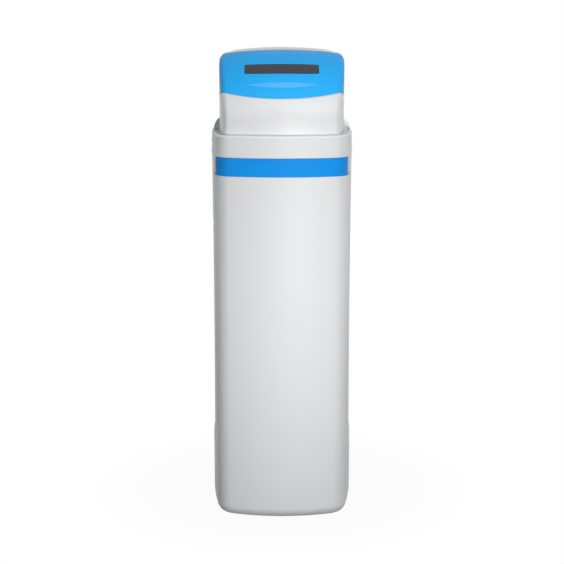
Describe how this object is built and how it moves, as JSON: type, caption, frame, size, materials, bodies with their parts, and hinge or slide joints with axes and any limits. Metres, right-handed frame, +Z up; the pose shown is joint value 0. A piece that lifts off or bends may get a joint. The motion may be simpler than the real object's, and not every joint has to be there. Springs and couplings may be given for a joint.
{
  "type": "water softener",
  "caption": "Cabinet water softener: hinged salt lid over a brine tank, resin vessel, motor-driven control valve and bypass under a lift-off hood.",
  "frame": {"origin": "on the floor, under the middle of the cabinet's plan", "axes": "+Z is up, -Y is the front with the lid and the blue band, +X is to the right seen from the front, and the pipes leave towards +Y"},
  "size_m": [0.3408, 0.521, 1.1069],
  "materials": {
    "light_grey_plastic": "fine satin",
    "blue_plastic": "satin gloss",
    "dark_plate_plastic": "gloss",
    "steel": "bright drawn",
    "wound_glass_fibre": "wound and resin coated",
    "black_rubber": "matte",
    "exchange_resin": "wet beads",
    "white_pipe_plastic": "smooth",
    "grey_moulding": "moulded",
    "black_moulding": "glass-filled, moulded",
    "spacer_plastic": "moulded",
    "piston_coating": "low-friction coating",
    "white_acetal": "machined look",
    "tan_acetal": "moulded",
    "zinc_steel": "zinc plated",
    "clear_pane": "clear",
    "display_glass": "liquid crystal panel",
    "board_laminate": "solder mask",
    "button_rubber": "satin",
    "red_plastic": "moulded",
    "tube_plastic": "translucent white",
    "well_plastic": "extruded",
    "float_plastic": "moulded"
  },
  "bodies": {
    "cabinet": {"cabinet_body": "light_grey_plastic", "collar": "light_grey_plastic", "front_band": "blue_plastic", "front_housing": "light_grey_plastic", "hinge_pins": "steel", "resin_tank": "wound_glass_fibre", "tank_boot": "black_rubber", "resin_bed": "exchange_resin", "riser_tube": "white_pipe_plastic", "bottom_strainer": "grey_moulding", "top_strainer": "grey_moulding", "valve_body": "black_moulding", "seal_stack": "spacer_plastic", "barrel_cap": "black_moulding", "drive_plate": "black_moulding", "idler_axle": "steel", "motor": "zinc_steel", "controller_cover": "light_grey_plastic", "display_pane": "clear_pane", "display": "display_glass", "circuit_board": "board_laminate", "power_inlet": "black_moulding", "turbine_holder": "white_acetal", "union_nuts": "black_moulding", "bypass_body": "black_moulding", "pipe_stubs": "grey_moulding", "stub_nuts": "black_moulding", "drain_elbow": "grey_moulding", "brine_elbow": "grey_moulding", "brine_line": "tube_plastic", "injector_cap": "black_moulding", "brine_well": "well_plastic", "air_check": "white_pipe_plastic", "pickup_tube": "white_pipe_plastic", "brine_valve": "white_pipe_plastic", "overflow_spigot": "black_moulding", "overflow_nut": "black_moulding", "housing_screws": "steel"},
    "salt_lid": {"salt_lid": "blue_plastic", "name_plate": "dark_plate_plastic"},
    "rear_hood": {"rear_hood": "light_grey_plastic"},
    "well_cap": {"brine_well_cap": "black_moulding"},
    "float": {"float_rod": "white_pipe_plastic", "float": "float_plastic"},
    "drive_gear": {"drive_gear": "white_acetal"},
    "idler": {"idler_gear": "tan_acetal"},
    "motor_rotor": {"motor_pinion": "white_acetal"},
    "piston": {"piston": "piston_coating", "piston_rod": "steel"},
    "turbine": {"meter_turbine": "white_acetal"},
    "button_1": {"button_1": "button_rubber"},
    "button_2": {"button_2": "button_rubber"},
    "button_3": {"button_3": "button_rubber"},
    "button_4": {"button_4": "button_rubber"},
    "bypass_inlet": {"bypass_inlet_rotor": "red_plastic"},
    "bypass_outlet": {"bypass_outlet_rotor": "red_plastic"}
  },
  "joints": [
    {"name": "lid_hinge", "type": "hinge", "parent": "cabinet", "child": "salt_lid", "pos_m": [0, -0.0146, 1.08703], "axis": [-1, 0, 0], "range_deg": [0, 72]},
    {"name": "hood_lift", "type": "slide", "parent": "cabinet", "child": "rear_hood", "axis": [0, 0, 1], "range_m": [0, 0.15]},
    {"name": "well_cap_lift", "type": "slide", "parent": "cabinet", "child": "well_cap", "axis": [0, 0, 1], "range_m": [0, 0.08]},
    {"name": "float_slide", "type": "slide", "parent": "cabinet", "child": "float", "axis": [0, 0, 1], "range_m": [0, 0.03]},
    {"name": "drive_spin", "type": "hinge", "parent": "cabinet", "child": "drive_gear", "pos_m": [0, 0.0527, 0.965], "axis": [0, 1, 0], "range_deg": [0, 720]},
    {"name": "idler_spin", "type": "hinge", "parent": "cabinet", "child": "idler", "pos_m": [0.03584, 0.0467, 0.99009], "axis": [0, 1, 0], "range_deg": [-2880, 0]},
    {"name": "motor_spin", "type": "hinge", "parent": "cabinet", "child": "motor_rotor", "pos_m": [0.03584, 0.0467, 1.02509], "axis": [0, 1, 0], "range_deg": [0, 8640]},
    {"name": "piston_slide", "type": "slide", "parent": "cabinet", "child": "piston", "axis": [0, -1, 0], "range_m": [0, 0.0271]},
    {"name": "turbine_spin", "type": "hinge", "parent": "cabinet", "child": "turbine", "pos_m": [0.047, 0.152, 0.965], "axis": [0, 1, 0], "continuous": true},
    {"name": "button_1_press", "type": "slide", "parent": "cabinet", "child": "button_1", "axis": [0, 1, 0], "range_m": [0, 0.001], "stiffness_N_per_m": 600, "springref_m": -0.001},
    {"name": "button_2_press", "type": "slide", "parent": "cabinet", "child": "button_2", "axis": [0, 1, 0], "range_m": [0, 0.001], "stiffness_N_per_m": 600, "springref_m": -0.001},
    {"name": "button_3_press", "type": "slide", "parent": "cabinet", "child": "button_3", "axis": [0, 1, 0], "range_m": [0, 0.001], "stiffness_N_per_m": 600, "springref_m": -0.001},
    {"name": "button_4_press", "type": "slide", "parent": "cabinet", "child": "button_4", "axis": [0, 1, 0], "range_m": [0, 0.001], "stiffness_N_per_m": 600, "springref_m": -0.001},
    {"name": "bypass_inlet_turn", "type": "hinge", "parent": "cabinet", "child": "bypass_inlet", "pos_m": [-0.047, 0.195, 0.965], "axis": [0, 0, 1], "range_deg": [-90, 0]},
    {"name": "bypass_outlet_turn", "type": "hinge", "parent": "cabinet", "child": "bypass_outlet", "pos_m": [0.047, 0.195, 0.965], "axis": [0, 0, 1], "range_deg": [0, 90]}
  ],
  "couplings": [
    {"joint": "idler_spin", "follows": "drive_spin", "ratio": -4},
    {"joint": "motor_spin", "follows": "drive_spin", "ratio": 12},
    {"joint": "piston_slide", "follows": "drive_spin", "m_per_rad": 0.002149}
  ]
}
